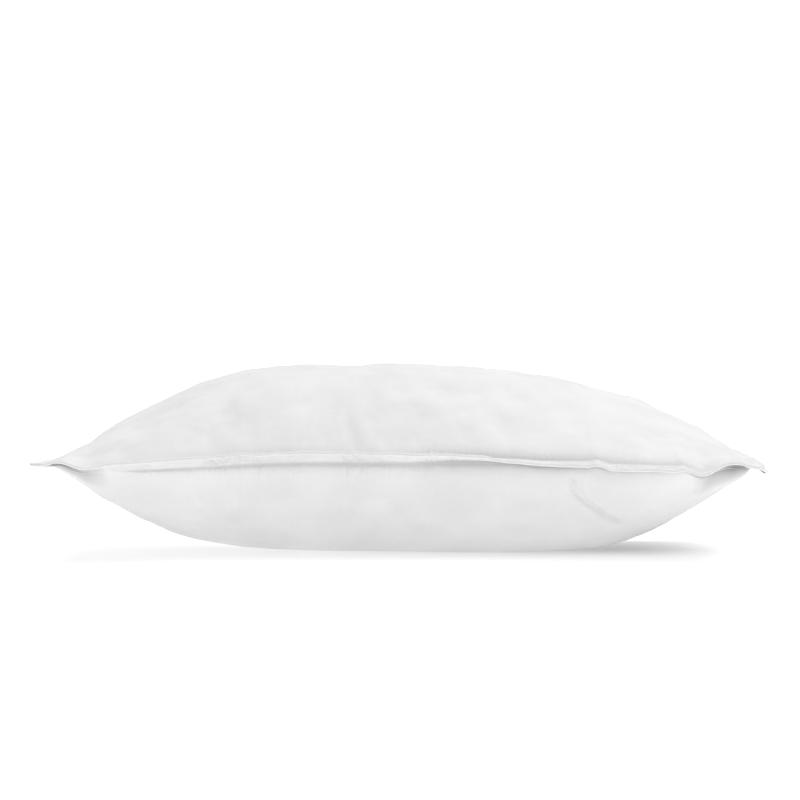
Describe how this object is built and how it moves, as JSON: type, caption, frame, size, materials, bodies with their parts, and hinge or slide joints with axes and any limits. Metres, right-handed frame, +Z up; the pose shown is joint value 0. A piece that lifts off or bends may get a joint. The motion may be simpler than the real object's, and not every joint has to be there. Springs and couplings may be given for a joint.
{
  "type": "bed pillow",
  "caption": "Soft rectangular bed pillow with a white woven cover, a loft filling and a corded double-stitched seam.",
  "frame": {"origin": "bottom centre of the bounding box, on the surface that the pillow rests on", "axes": "+X along the long side, +Y across from the front edge to the back edge, +Z up through the loft"},
  "size_m": [0.6488, 0.4992, 0.17],
  "materials": {
    "ticking": "fine plain-woven cotton, matt white",
    "binding": "bias-cut cotton strip, matt white",
    "cotton_cord": "unbleached twisted cotton cord",
    "thread": "white spun polyester sewing thread, slight sheen",
    "down": "loose off-white down clusters"
  },
  "bodies": {
    "root": {"upper_panel": "ticking", "lower_panel": "ticking", "piping_sleeve": "binding", "piping_cord": "cotton_cord", "needle_thread_inner": "thread", "needle_thread_outer": "thread", "bobbin_thread_inner": "thread", "bobbin_thread_outer": "thread", "filling": "down"}
  },
  "joints": []
}
